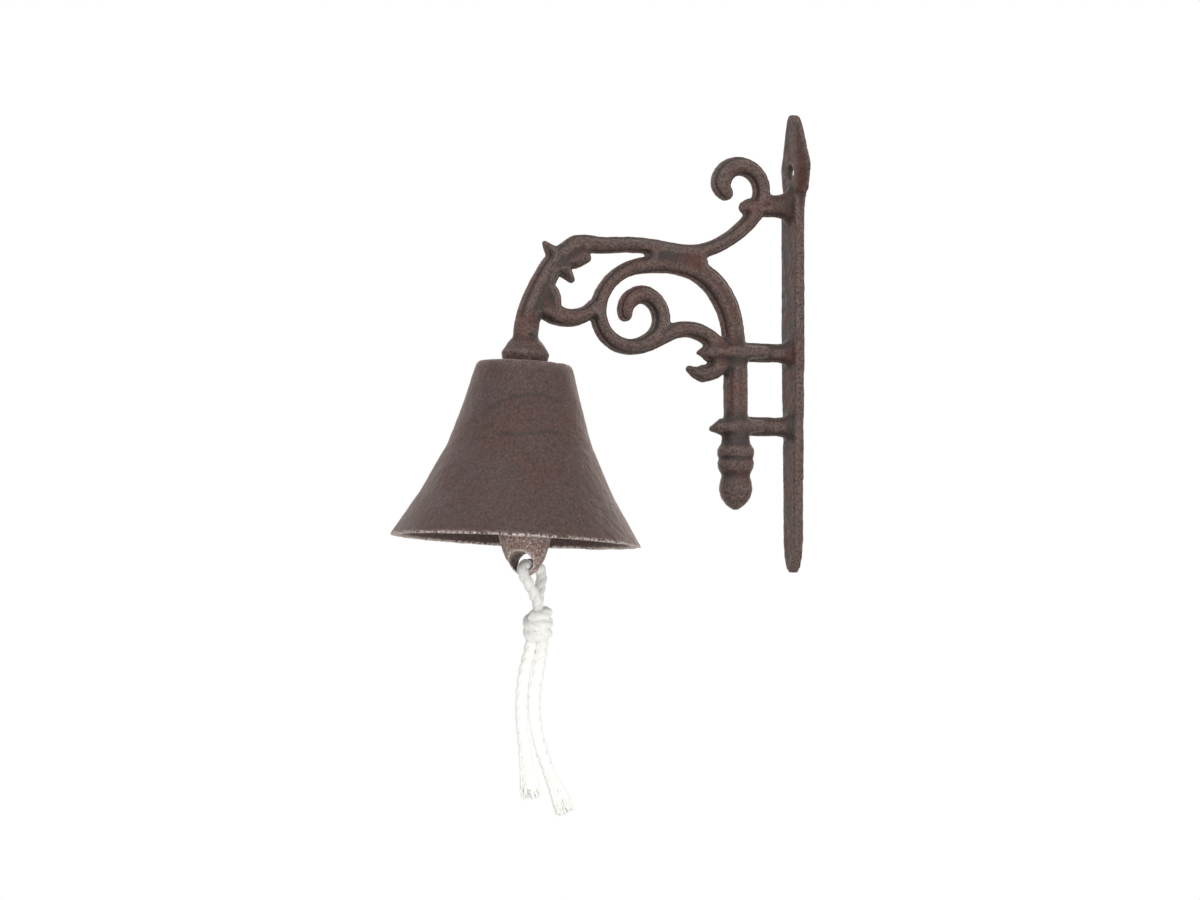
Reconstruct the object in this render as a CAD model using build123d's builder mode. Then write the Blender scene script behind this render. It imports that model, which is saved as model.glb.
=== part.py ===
from build123d import *
import os
from math import cos, pi, radians, sin, tan

os.makedirs("parts", exist_ok=True)

# Garden bell on a cast wall bracket, millimetres, +Z up.
# The wall is the plane X = 0 and the arm reaches out towards -X.
# Y = 0 is the parting plane of the bracket casting.
# The origin is on the back of the wall plate, level with the upper cross bar.

# Wall plate, flat against the wall, as half outlines (y, z) from top to bottom
plate_top = 104.0
plate_bottom = -98.0
plate_half = 7.8
plate_thickness = 4.4
plate_edge_bevel = 0.9
plate_face_share = 0.87
leaf_half = 14.3
leaf_thickness = 3.5
leaf_edge_thickness = 0.8
leaf_face_share = 0.56
screw_hole_diameter = 7.0
screw_z = 78.5

# Section of every scroll and bar: a thin edge, and sides that slope to a narrower face
edge_half_depth = 1.3
face_half_depth = 4.4
face_share = 0.42
lobe_half_depth = 3.6
lobe_face_share = 0.5
web_half_depth = 4.0
clasp_half_depth = 6.2
clasp_face_share = 0.6
curve_steps = 3

# Bars between the wall plate and the post
bar_height = 8.4
bar_flare = 3.2
upper_bar_z = -1.5
lower_bar_z = -33.9
tie_bar_height = 10.0
tie_bar_flare = 6.4
tie_bar_z = 63.3
foot_half_width = 5.4
foot_length = 6.5

# Post and its drop finial
post_x = -30.1
post_width = 10.2
finial_neck_radius = 6.2
finial_ring_radius = 8.15
finial_ring_height = 6.2
finial_waist_radius = 6.2
finial_drop_radius = 7.4
finial_drop_height = 15.2

# End of the arm, where the bell hangs with a slight tilt
reach = 130.3
seat_z = -8.9
bell_tilt = 3.2
leg_width = 11.0
collar_radius = 10.5
collar_height = 9.6
collar_foot_radius = 9.2

# Bell, turned about the hanging line
bell_height = 76.5
crown_radius = 20.7
mouth_radius = 54.0
crown_thickness = 4.0
crown_round = 1.4
bell_wall = 3.5
bell_flare = [(0.21, 0.123), (0.47, 0.315), (0.74, 0.625), (1.0, 1.0)]

# Eye bolt through the crown, with its washer and nut
bolt_diameter = 6.0
bolt_grip = 13.0
thread_gap = 0.1
washer_diameter = 13.0
washer_thickness = 1.2
nut_across_flats = 10.0
nut_thickness = 5.0
bolt_run_out = 1.0
eye_wire = 3.6
eye_ring_radius = 5.2

# Hanging link between the eye bolt and the clapper
link_wire = 3.0
link_straight = 5.0
chain_gap = 0.35
ring_sides = 16
wire_sides = 8

# Flats round each turned shape, enough to read as round at its size
bell_sides = 72
clapper_sides = 32
post_sides = 24
knot_sides = 16

# Clapper, which hangs a little towards the wall
clapper_length = 59.5
clapper_lean = 2.0
clapper_eye_wire = 3.6
clapper_stem_radius = 3.2
clapper_radius = 12.0
clapper_profile = [(0.27, 0.27), (0.6, 1.0), (0.74, 0.92), (0.87, 0.7), (0.96, 0.42), (1.0, 0.12)]
rope_hole_width = 10.6
rope_hole_height = 8.4
rope_bar_thickness = 2.3
rope_hole_turn = 46.0

# Cotton pull rope, doubled through the clapper and knotted
rope_diameter = 4.0
rope_sides = 8
rope_corner_radius = rope_diameter / 2 * (2 * pi / rope_sides / sin(2 * pi / rope_sides)) ** 0.5
knot_width = 11.0
knot_height = 9.5
knot_drop = 18.8
knot_offset = Vector(4.4, -3.0)
strand_pitch = 4.4
front_fold_out = 11.5
back_fold_out = 11.0

# Places that follow from the sizes above
seat = Vector(-reach, 0, seat_z)
hang_up = Vector(sin(radians(bell_tilt)), 0, cos(radians(bell_tilt)))
hang_plane = Plane(origin=seat, x_dir=(0, 1, 0), z_dir=hang_up)
arm_end = -reach
nut_face = -(crown_thickness + washer_thickness + nut_thickness)
eye_depth = nut_face - bolt_run_out - eye_ring_radius - eye_wire / 2
eye_centre = seat + hang_up * eye_depth
link_top = eye_centre - hang_up * eye_ring_radius
link_bend = (eye_wire + link_wire) / 2 + chain_gap
clapper_bend = (link_wire + clapper_eye_wire) / 2 + chain_gap
clapper_pivot = link_top - Vector(0, 0, link_straight + clapper_bend)


def band_outline(path, widths, share, depth, ends, steps):
    """The outline of a band around a smooth centre line, with a width at each of its points."""
    centre = Edge.make_spline([Vector(x, z) for x, z in path])
    marks = [centre.param_at_point(Vector(x, z)) for x, z in path]
    left, right = [], []
    for first, second, width, next_width in zip(marks, marks[1:], widths, widths[1:]):
        for step in range(steps + (second == marks[-1])):
            place = first + (second - first) * step / steps
            half = share * (width + (next_width - width) * step / steps) / 2
            along = centre.tangent_at(place)
            left.append(centre @ place + Vector(-along.Y, along.X) * half)
            right.append(centre @ place - Vector(-along.Y, along.X) * half)
    if ends == "round":
        along, half = centre % 1, share * widths[-1] / 2
        for turn in (-60, -20, 20, 60):
            left.append(centre @ 1 + along.rotate(Axis.Z, -turn) * half)
    with BuildSketch(Plane.XZ.offset(depth)) as outline:
        with BuildLine():
            Polyline(*left, *reversed(right), close=True)
        make_face()
    return outline.sketch


def band(path, widths, ends="buried", steps=curve_steps):
    """A band of the casting, widest at the parting plane and narrower at both faces."""
    layers = [(face_share, -face_half_depth), (1, -edge_half_depth)]
    layers += [(share, -depth) for share, depth in reversed(layers)]
    return loft([band_outline(path, widths, share, y, ends, steps) for share, y in layers], ruled=True)


def lobe(path, widths, half_depth=lobe_half_depth, share=lobe_face_share):
    """A small leaf of the casting, with drafted sides and a round end."""
    layers = [(share, -half_depth), (1, 0), (share, half_depth)]
    return loft([band_outline(path, widths, share, y, "round", 2) for share, y in layers], ruled=True)


def wall_bar(z, height, flare, far_end):
    """A straight bar that flares just where it meets the wall plate."""
    stations = [(far_end, 0), (-10, 0), (-6.8, flare / 4), (-plate_thickness, flare), (-0.5, flare)]
    return band([(x, z) for x, wider in stations], [height + wider for x, wider in stations], steps=1)


def bar_foot(z, height):
    """The spread of a bar to both sides where it meets the wall plate."""
    sections = []
    for depth, half_width, tall in (
        (plate_thickness - 0.4, foot_half_width, height),
        (plate_thickness + foot_length, edge_half_depth * 2, height / 2),
    ):
        with BuildSketch(Plane.YZ.offset(-depth)) as section:
            with Locations((0, z)):
                Rectangle(half_width * 2, tall)
        sections.append(section.sketch)
    return loft(sections, ruled=True)


# Centre lines of the scrolls, as points (x, z), with the width of the band at each
scroll_path = [(-31.3, upper_bar_z), (-31.5, 8), (-36.5, 22.5), (-46, 32), (-59, 36), (-72, 35.5), (-84, 32.2)]
scroll_path += [(-92.3, 25), (-96, 15), (-93.6, 6.3), (-88, 1.1), (-80.5, -0.6), (-72.5, 1.8)]
scroll_path += [(-67.3, 6.6), (-66, 13), (-68.9, 19.3), (-75.3, 22.4), (-81.3, 19.6), (-83.2, 13.4)]
scroll_widths = [10.5, 10.3, 11, 10, 9, 7.6, 6.4, 6.4, 7.2, 7.2, 7.2, 7, 7.4, 7.8, 8.2, 8, 8.1, 7.8, 6.4]
wave_path = [(-83, -0.4), (-72, 1.2), (-62, 6.2), (-54.5, 7.9), (-47, 6.5), (-40, 2.2), (-36, upper_bar_z)]
wave_widths = [6, 7, 7.4, 7, 7.4, 7.6, 6]
arm_path = [(arm_end + 16.8, 39.3), (arm_end + 19.8, 41.5), (arm_end + 24, 43.1), (-96, 43.1), (-82, 43.8)]
arm_path += [(-68, 42.9), (-55, 41.6), (-44, 43), (-33, 48.3), (-24.5, 55.2), (-19.2, 62.5), (-17.4, 70)]
arm_path += [(-20.4, 77), (-27.4, 80.2), (-34.3, 78), (-37.2, 72.2), (-35, 68.2)]
arm_widths = [5, 6.4, 8.2, 7.4, 6.9, 7, 6.6, 6.4, 6.5, 7, 7.8, 7.8, 8, 8.2, 9, 9.2, 7]
leg_path = [(arm_end + 20.3, 41.5), (arm_end + 12.8, 33.3), (arm_end + 9.6, 28.3), (arm_end + 6.5, 22.6)]
leg_path += [(arm_end + 4, 17.1), (arm_end + 1.2, 8.9), (arm_end + 0.5, 3), (arm_end, seat_z + 3)]
leg_widths = [7, 10, 10.4, 10.6, leg_width, leg_width, leg_width, leg_width]
brace_path = [(arm_end + 6, 17.5), (arm_end + 13.5, 12.6), (arm_end + 20.5, 11.2), (-103, 12.6), (-97, 17.5)]
brace_widths = [9, 9, 7.8, 7, 6.5]

# The small leaves: on the elbow, above the brace, beside the curl and on the cross bars
lobes = [
    ([(arm_end + 15.3, 37.5), (arm_end + 12, 40), (arm_end + 9.3, 43.2)], [9, 6.2, 2.2]),
    ([(arm_end + 18, 38), (arm_end + 24.3, 36.9), (arm_end + 28.9, 37.2)], [10, 9.2, 4.8]),
    ([(arm_end + 16, 33.5), (arm_end + 19.4, 30.3), (arm_end + 21.6, 27.6)], [8.5, 6.2, 3.2]),
    ([(arm_end + 8.5, 24.5), (arm_end + 13, 21.8), (arm_end + 14, 17.5)], [7.5, 6.6, 6.2]),
    ([(-19.5, 62.5), (-23.5, 62.6), (-25.6, 62)], [9, 7.6, 6.2]),
    ([(-38, -1.8), (-44.5, -2), (-48, -2.2)], [11, 7.4, 1.8]),
    ([(-33, -4.5), (-40.5, -9.6), (-47, -11.4), (-52.4, -9.4)], [8, 8.4, 7.8, 3.4]),
    ([(post_x, lower_bar_z), (post_x - 7, lower_bar_z - 0.7), (post_x - 11.2, lower_bar_z - 1.4)], [8.3, 8.2, 3]),
]

# The web between arm and arch, and the clasps where the cross bars pass over the post
web_path = [(-73, 39.4), (-60, 39), (-50, 38.6), (-45.8, 37.6)]
web_widths = [2.5, 7, 7, 4.5]
clasps = [
    ([(post_x - 11, upper_bar_z - 0.5), (post_x, upper_bar_z - 0.1), (post_x + 12, upper_bar_z)], [5, 8.2, 6.5]),
    ([(post_x - 10.6, lower_bar_z - 1.1), (post_x, lower_bar_z - 0.2), (post_x + 10, lower_bar_z)], [3.5, 8, 6.5]),
]

# Half outlines of the wall plate, as points (y, z)
leaf_blade = [(0, 0), (0.17, 0.3), (0.31, 1.6), (0.56, 8.5), (0.73, 14), (0.87, 18.5), (0.975, 21.8), (1, 23.5)]
leaf_barb = [(0.94, 28), (0.84, 33.5), (0.67, 35.6), (0.55, 42)]
leaf_half_outline = [(leaf_half * share, plate_top - drop) for share, drop in leaf_blade + leaf_barb]
shank_top = tie_bar_z + tie_bar_height / 2
shank_half_outline = [(plate_half, shank_top), (plate_half, 0), (plate_half * 0.85, -42)]
shank_half_outline += [(plate_half * 0.76, plate_bottom + 14), (plate_half * 0.64, plate_bottom + 7)]
shank_half_outline += [(plate_half * 0.38, plate_bottom + 2.2), (0, plate_bottom)]


def plate_layer(half_outline, share, depth):
    """A whole outline of the plate, this far in front of the wall and narrowed by this share."""
    half = [(y * share, z) for y, z in half_outline]
    with BuildSketch(Plane.YZ.offset(-depth)) as layer:
        with BuildLine():
            Polyline(*half, *[(-y, z) for y, z in reversed(half) if y > 0], close=True)
        make_face()
    return layer.sketch


def plate_piece(half_outline, edge, thickness, share):
    """One piece of the plate: a square edge, then a slope to a narrower face."""
    layers = [(1, 0), (1, edge), (share, thickness)]
    return loft([plate_layer(half_outline, size, depth) for size, depth in layers], ruled=True)


def flat_sided(rings, closed=False):
    """A solid with a flat face between each two neighbours of these rings of points."""
    faces = []
    for ring, following in zip(rings, rings[1:] + rings[:1] if closed else rings[1:]):
        for number in range(len(ring)):
            corners = [ring[number - 1], ring[number], following[number], following[number - 1]]
            faces.append(Face(Wire.make_polygon(corners)))
    if not closed:
        faces += [Face(Wire.make_polygon(rings[0])), Face(Wire.make_polygon(rings[-1]))]
    return Solid(Shell(faces))


def turned(plane, profile, sides):
    """A shape turned about this plane's normal, from the radius and height of each of its rings."""
    turns = [2 * pi * number / sides for number in range(sides)]
    rings = [
        [plane.from_local_coords(Vector(radius * cos(turn), radius * sin(turn), height)) for turn in turns]
        for radius, height in profile
    ]
    return flat_sided(rings)


def wire_ring(plane, radius, straight, wire):
    """A closed link of round wire, flat in this plane, its top bend centred on the origin."""
    corner_turns = [2 * pi * (number + 0.5) / wire_sides for number in range(wire_sides)]
    rings = []
    for number in range(ring_sides):
        turn = 2 * pi * (number + 0.5) / ring_sides
        drop = straight if sin(turn) < 0 else 0
        section = []
        for corner in corner_turns:
            reach_out = radius + wire / 2 * cos(corner)
            place = Vector(reach_out * cos(turn), reach_out * sin(turn) - drop, wire / 2 * sin(corner))
            section.append(plane.from_local_coords(place))
        rings.append(section)
    return flat_sided(rings, closed=True)


def bend_radii(points):
    """The radius of each corner of a cord: as wide as the shorter run beside it allows."""
    radii = []
    for before, corner, after in zip(points, points[1:], points[2:]):
        turn = radians((corner - before).get_angle(after - corner))
        run = min((corner - before).length, (after - corner).length)
        radii.append(0.45 * run / tan(turn / 2))
    return radii


# Heights of the rings and of the drop below them
ring_half = finial_ring_height / 2
upper_ring_z = lower_bar_z - bar_height / 2 - 7.2
lower_ring_z = upper_ring_z - finial_ring_height
waist_z = lower_ring_z - ring_half - 0.8
finial_profile = [
    (finial_neck_radius, lower_bar_z),
    (finial_neck_radius, upper_ring_z + ring_half + 1),
    (finial_ring_radius, upper_ring_z + ring_half * 0.4),
    (finial_ring_radius, upper_ring_z - ring_half * 0.4),
    (finial_ring_radius * 0.9, upper_ring_z - ring_half),
    (finial_ring_radius, lower_ring_z + ring_half * 0.6),
    (finial_ring_radius * 0.95, lower_ring_z - ring_half * 0.3),
    (finial_waist_radius, waist_z),
    (finial_drop_radius * 0.95, waist_z - finial_drop_height * 0.2),
    (finial_drop_radius, waist_z - finial_drop_height * 0.42),
    (finial_drop_radius * 0.87, waist_z - finial_drop_height * 0.66),
    (finial_drop_radius * 0.55, waist_z - finial_drop_height * 0.86),
    (finial_drop_radius * 0.14, waist_z - finial_drop_height),
]
collar_profile = [
    (collar_foot_radius, 0),
    (collar_radius - 0.4, 2.4),
    (collar_radius, 4.2),
    (collar_radius * 0.72, 8.9),
    (leg_width / 2, collar_height + 1.4),
]

casting = [
    band(scroll_path, scroll_widths, "round"),
    band(wave_path, wave_widths),
    band(arm_path, arm_widths, "round"),
    band(leg_path, leg_widths),
    band(brace_path, brace_widths),
    wall_bar(tie_bar_z, tie_bar_height, tie_bar_flare, -19),
    wall_bar(upper_bar_z, bar_height, bar_flare, -45),
    wall_bar(lower_bar_z, bar_height, bar_flare, post_x - 5),
    plate_piece(shank_half_outline, plate_thickness - plate_edge_bevel, plate_thickness, plate_face_share),
    plate_piece(leaf_half_outline, leaf_edge_thickness, leaf_thickness, leaf_face_share),
]
casting += [lobe(path, widths) for path, widths in lobes]
casting += [lobe(path, widths, clasp_half_depth, clasp_face_share) for path, widths in clasps]
casting.append(lobe(web_path, web_widths, web_half_depth, clasp_face_share))
for z, height in ((tie_bar_z, tie_bar_height), (upper_bar_z, bar_height), (lower_bar_z, bar_height)):
    casting.append(bar_foot(z, height))
casting.append(turned(Plane((post_x, 0, 0)), finial_profile, post_sides))
casting.append(turned(hang_plane, collar_profile, post_sides))

with BuildPart() as wall_bracket:
    for piece in casting:
        add(piece)
    with BuildSketch(Plane.XY.offset(lower_bar_z)):
        with Locations((post_x, 0)):
            RegularPolygon(post_width / 2, 8, major_radius=False, rotation=22.5)
    extrude(amount=upper_bar_z - lower_bar_z)
    with Locations(Plane(origin=(-leaf_thickness - 1, 0, screw_z), z_dir=(-1, 0, 0))):
        Hole(screw_hole_diameter / 2, depth=leaf_thickness + 2)
    with Locations(Plane(origin=seat, x_dir=(0, 1, 0), z_dir=-hang_up)):
        Hole(bolt_diameter / 2 + thread_gap, depth=bolt_grip + 1)

# Bell, its inside following the outside at the wall's thickness
outside = [(crown_radius - crown_round, 0), (crown_radius, -crown_round)]
outside += [
    (crown_radius + (mouth_radius - crown_radius) * share, -bell_height * drop) for drop, share in bell_flare
]
inside = []
for (upper_r, upper_z), (lower_r, lower_z) in zip(outside[1:], outside[2:]):
    slant = (lower_r - upper_r) / (upper_z - lower_z)
    inside.append((lower_r - bell_wall * (1 + slant**2) ** 0.5, lower_z))
inside.insert(0, (inside[0][0] - (inside[1][0] - inside[0][0]) * 0.55, -crown_thickness))
bell_outside = turned(hang_plane, outside, bell_sides)
bell_inside = turned(hang_plane, inside, bell_sides)
with BuildPart() as bell:
    add(bell_outside)
    add(bell_inside, mode=Mode.SUBTRACT)
    with Locations(hang_plane):
        Hole(bolt_diameter / 2 + thread_gap)

with BuildPart() as bolt_washer:
    with BuildSketch(Plane(origin=seat - hang_up * crown_thickness, x_dir=(0, 1, 0), z_dir=-hang_up)):
        Circle(washer_diameter / 2)
        Circle(bolt_diameter / 2 + thread_gap, mode=Mode.SUBTRACT)
    extrude(amount=washer_thickness)

with BuildPart() as bolt_nut:
    nut_top = seat - hang_up * (crown_thickness + washer_thickness)
    with BuildSketch(Plane(origin=nut_top, x_dir=(0, 1, 0), z_dir=-hang_up)):
        RegularPolygon(nut_across_flats / 2, 6, major_radius=False)
        Circle(bolt_diameter / 2 + thread_gap, mode=Mode.SUBTRACT)
    extrude(amount=nut_thickness)

# The eye bolt's ring stands across the bracket, so the clapper swings in line with the arm
eye_plane = Plane(origin=eye_centre, x_dir=(0, 1, 0), z_dir=Vector(0, 1, 0).cross(hang_up))
eye_ring = wire_ring(eye_plane, eye_ring_radius, 0, eye_wire)
with BuildPart() as eye_bolt:
    with BuildSketch(Plane(origin=seat + hang_up * bolt_grip, x_dir=(0, 1, 0), z_dir=-hang_up)):
        Circle(bolt_diameter / 2)
    extrude(amount=bolt_grip - nut_face + bolt_run_out + eye_wire / 2)
    add(eye_ring)

link_plane = Plane(origin=link_top, x_dir=(1, 0, 0), z_dir=(0, -1, 0))
link_ring = wire_ring(link_plane, link_bend, link_straight, link_wire)
with BuildPart() as hanging_link:
    add(link_ring)

# Clapper, one casting from its top ring to the bar that holds the rope
clapper_down = Vector(sin(radians(clapper_lean)), 0, -cos(radians(clapper_lean)))
clapper_plane = Plane(origin=clapper_pivot, x_dir=(0, 1, 0), z_dir=Vector(0, 1, 0).cross(-clapper_down))
rope_hole_drop = clapper_length - rope_bar_thickness - rope_hole_height / 2
rope_hole_centre = clapper_pivot + clapper_down * rope_hole_drop
rope_hole_axis = Vector(sin(radians(rope_hole_turn)), cos(radians(rope_hole_turn)), 0)
rope_hole_side = Vector(rope_hole_axis.Y, -rope_hole_axis.X, 0)
clapper_ring = wire_ring(clapper_plane, clapper_bend, 0, clapper_eye_wire)
clapper_rings = [(clapper_stem_radius * 0.8, -clapper_bend - 0.4)]
clapper_rings += [(clapper_radius * share, -clapper_length * drop) for drop, share in clapper_profile]
clapper_body = turned(Plane(origin=clapper_pivot, x_dir=(0, 1, 0), z_dir=-clapper_down), clapper_rings, clapper_sides)
with BuildPart() as clapper:
    add(clapper_ring)
    add(clapper_body)
    with BuildSketch(Plane(origin=rope_hole_centre, x_dir=rope_hole_side, z_dir=rope_hole_axis)):
        SlotOverall(rope_hole_width, rope_hole_height)
    extrude(amount=clapper_radius * 1.5, both=True, mode=Mode.SUBTRACT)

# Pull rope: out of the hole at the front, out at the back beside the clapper, and down to the knot
fold_z = rope_hole_centre.Z - 0.9
front_fold = rope_hole_centre - rope_hole_axis * front_fold_out + rope_hole_side * 0.5
back_fold = rope_hole_centre + rope_hole_axis * back_fold_out + rope_hole_side * 2.0
knot_centre = Vector(rope_hole_centre.X, 0, fold_z - knot_drop - knot_height / 2) + knot_offset
knot_top = knot_centre.Z + knot_height / 2
knot_bottom = knot_centre.Z - knot_height / 2
strand_side = Vector(0.36, 0.93, 0) * (strand_pitch / 2)
tail_side = strand_side.cross(Vector(0, 0, 1))
front_end = Vector(knot_centre.X, knot_centre.Y, knot_top) - strand_side
back_end = Vector(knot_centre.X, knot_centre.Y, knot_top) + strand_side
loop_points = [front_end, front_end + Vector(0, 0, 3.4), Vector(front_fold.X, front_fold.Y, fold_z)]
loop_points += [Vector(back_fold.X, back_fold.Y, fold_z), back_end + Vector(0, 0, 3.4), back_end]
left_end = Vector(knot_centre.X, knot_centre.Y, knot_bottom) - tail_side
right_end = Vector(knot_centre.X, knot_centre.Y, knot_bottom) + tail_side
left_points = [left_end, left_end + Vector(0, 0, -7), left_end + Vector(-3.9, -0.3, -20)]
left_points += [left_end + Vector(-4.9, -0.8, -43), left_end + Vector(-0.6, -0.4, -69)]
right_points = [right_end, right_end + Vector(0, 0, -12), right_end + Vector(-2.2, 0.6, -32)]
right_points += [right_end + Vector(3, 1, -56), right_end + Vector(11.5, 0.4, -75.6)]


def rope(points):
    """A length of the rope along these points."""
    radii = bend_radii(points)
    print("bend radii", [round(radius, 1) for radius in radii])
    with BuildPart() as length:
        with BuildLine() as route:
            FilletPolyline(*points, radius=radii)
        with BuildSketch(Plane(origin=route.line @ 0, z_dir=route.line % 0)):
            RegularPolygon(rope_corner_radius, rope_sides)
        sweep()
    run = sum(edge.length for edge in route.line.edges())
    print("rope", round(run, 1), round(length.part.volume / (pi * rope_diameter**2 / 4), 1))
    return length.part


pull_loop = rope(loop_points)
pull_tail_left = rope(left_points)
pull_tail_right = rope(right_points)

knot_profile = [
    (knot_width * 0.39, -knot_height / 2),
    (knot_width * 0.5, -knot_height * 0.18),
    (knot_width * 0.5, knot_height * 0.18),
    (knot_width * 0.39, knot_height / 2),
]
knot_body = turned(Plane(knot_centre), knot_profile, knot_sides)
with BuildPart() as pull_knot:
    add(knot_body)

wall_bracket.part.label = "wall_bracket"
bell.part.label = "bell"
eye_bolt.part.label = "eye_bolt"
bolt_washer.part.label = "bolt_washer"
bolt_nut.part.label = "bolt_nut"
hanging_link.part.label = "hanging_link"
clapper.part.label = "clapper"
pull_loop.label = "pull_loop"
pull_knot.part.label = "pull_knot"
pull_tail_left.label = "pull_tail_left"
pull_tail_right.label = "pull_tail_right"

export_step(wall_bracket.part, "parts/wall_bracket.step")
export_step(bell.part, "parts/bell.step")
export_step(eye_bolt.part, "parts/eye_bolt.step")
export_step(bolt_washer.part, "parts/bolt_washer.step")
export_step(bolt_nut.part, "parts/bolt_nut.step")
export_step(hanging_link.part, "parts/hanging_link.step")
export_step(clapper.part, "parts/clapper.step")
export_step(pull_loop, "parts/pull_loop.step")
export_step(pull_knot.part, "parts/pull_knot.step")
export_step(pull_tail_left, "parts/pull_tail_left.step")
export_step(pull_tail_right, "parts/pull_tail_right.step")
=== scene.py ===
"""Garden bell: sand-cast iron bell and bracket, zinc-plated hanging parts, knotted cotton pull rope."""

from math import cos, pi, radians, sin, tau

import bmesh
import bpy
import numpy as np
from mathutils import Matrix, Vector
from mathutils.kdtree import KDTree


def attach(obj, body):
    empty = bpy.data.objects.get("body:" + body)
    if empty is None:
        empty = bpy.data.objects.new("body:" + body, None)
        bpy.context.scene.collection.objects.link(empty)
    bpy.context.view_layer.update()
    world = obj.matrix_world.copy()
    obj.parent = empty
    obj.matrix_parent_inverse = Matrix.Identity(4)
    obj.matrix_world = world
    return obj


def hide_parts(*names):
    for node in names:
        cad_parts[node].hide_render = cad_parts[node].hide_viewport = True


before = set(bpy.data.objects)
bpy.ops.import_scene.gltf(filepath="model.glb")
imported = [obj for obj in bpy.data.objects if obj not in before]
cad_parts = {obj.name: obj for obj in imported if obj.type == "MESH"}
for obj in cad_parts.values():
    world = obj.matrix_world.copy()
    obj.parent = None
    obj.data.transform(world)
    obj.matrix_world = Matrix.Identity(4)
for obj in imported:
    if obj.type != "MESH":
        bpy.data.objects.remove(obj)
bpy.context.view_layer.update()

MM = 0.001

# The photograph's view of the bell
VIEW_TURN = radians(24)
VIEW_RISE = radians(2.5)
VIEW_DISTANCE = 1941 * MM
VIEW_TARGET = Vector((-95, 0, -45.5)) * MM
LENS = 135

# Finishes, as sRGB colours
IRON_STAIN = "#2e1d19"
# IRON_CREASE and BELL_CREASE darken the grain, and lay painted shade in the creases and hollows;
# BELL_CREASE also draws the bell's faint marks
IRON_CREASE = "#0f0908"
IRON_WORN = "#624e47"
IRON_RUST = "#512518"
BELL_STAIN = "#452f2c"
BELL_CREASE = "#1a1110"
BELL_WORN = "#66534e"
BELL_RUST = "#4a2d24"
LIP_WORN = "#d3c6bf"
CLAPPER_STAIN = "#a3857b"
CLAPPER_WORN = "#e6ddd8"
DUST = "#eeddd4"
ZINC = "#8d8b86"
ZINC_DULL = "#5f5c57"
COTTON = "#fdfdfa"
COTTON_SHADE = "#f6f4ef"
PALE_FLOOR = "#ecebe8"
WHITE = "#ffffff"

# Grain of the sand-cast skin, and the size of its rust patches and of the chips at the bell's lip
BRACKET_GRIT = 1.0 * MM
BELL_GRIT = 1.1 * MM
CLAPPER_GRIT = 1.0 * MM
RUST_PATCH = 15 * MM
CHIP_SIZE = 1.1 * MM

# Size of the clouds in the zinc, and of the cotton's fluff and bundles of fibres
ZINC_CLOUD = 3 * MM
COTTON_FLUFF = 1.2 * MM
COTTON_FIBRE = 0.4 * MM

# Mesh size of each piece that gets an even skin
BRACKET_VOXEL = 0.58 * MM
BELL_VOXEL = 0.8 * MM
CLAPPER_VOXEL = 0.35 * MM
BOLT_VOXEL = 0.22 * MM
LINK_VOXEL = 0.18 * MM

# Sizes of the casting that its finish follows
POST_X = -30.1 * MM
POST_HALF = 5.1 * MM
UPPER_BAR_Z = -1.5 * MM
LOWER_BAR_Z = -33.9 * MM
TIE_BAR_Z = 63.3 * MM
PLATE_THICKNESS = 4.4 * MM
EDGE_HALF_DEPTH = 1.3 * MM
FACE_HALF_DEPTH = 4.4 * MM
FLANGE_WIDTH = 0.95 * MM
STEP_END = 1.5 * MM
STEP_DEPTH = 2.7 * MM
CROWN_AT = 3.7 * MM
CROWN_SHARE = 0.75
ARM_END_X = -118 * MM
LEG_X = -130.3 * MM
LEG_LEAN = 0.13
LEG_HALF = 5.6 * MM
COLLAR_NECK = 5.5 * MM
BELL_TILT = radians(3.2)
SEAT = Vector((-130.3, 0, -8.9)) * MM
HANG_UP = Vector((sin(BELL_TILT), 0, cos(BELL_TILT)))
BELL_HEIGHT = 76.5 * MM
MARK_WIDTH = 1.3 * MM
MARK_STRENGTH = 0.6

# Heights between which the bands' section fades out at the finial and at the collar, and the painted shade
# above the collar's seat
FINIAL_FADE = (-40 * MM, -38 * MM)
COLLAR_FADE = (9 * MM, 13 * MM)
SEAT_FADE = (-8.8 * MM, -6.2 * MM)

# Zones where parts of the casting run into each other: low, high and the soft width beyond them
BAR_REACH = 6 * MM
BAR_SOFT = 2 * MM
PLATE_FEET = (-13 * MM, -PLATE_THICKNESS + 0.2 * MM, 1 * MM)
POST_CLASPS = (-48 * MM, -14 * MM, 2 * MM)
WEB_ACROSS = (-76 * MM, -44 * MM, 3 * MM)
WEB_UP = (34 * MM, 46 * MM, 2 * MM)
LEG_FOOT = (2.2 * MM, 9 * MM, 3 * MM)
LEG_NECK = (-1 * MM, 10 * MM, 3 * MM)

# Wear and painted shade: how far a point stands proud or low before it is rubbed or darkened with painted
# shade, and the strongest of each
RUBBED_FROM = 0.25
SHADED_FROM = 0.15
SHADE_SHARE = 0.92
FLANGE_RUB = 0.7
CREASE_SHADE = 0.8

# The rope's routes, in millimetres: the loop through the clapper, then the tails below the knot
ROPE_DIAMETER = 4.6 * MM
TAIL_DIAMETER = 5.2 * MM
KNOT_ROPE_DIAMETER = 5.0 * MM
LOOP_ROUTE = [
    (-126.1, -5.0, -113.6),
    (-126.1, -5.0, -110.2),
    (-137.7, -8.3, -94.8),
    (-118.3, 6.8, -95.2),
    (-124.6, -1.0, -110.2),
    (-124.6, -1.0, -113.6),
]
LEFT_ROUTE = [
    (-127.4, -2.2, -123.1),
    (-128.0, -2.2, -130.1),
    (-132.4, -2.4, -143.1),
    (-133.3, -2.8, -166.1),
    (-128.4, -2.6, -192.1),
]
RIGHT_ROUTE = [
    (-123.3, -3.8, -123.1),
    (-124.6, -4.4, -135.1),
    (-128.9, -4.6, -155.1),
    (-123.6, -4.0, -179.1),
    (-113.4, -3.4, -198.7),
]
KNOT_CENTRE = (-125.4, -3.0, -120.9)
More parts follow.
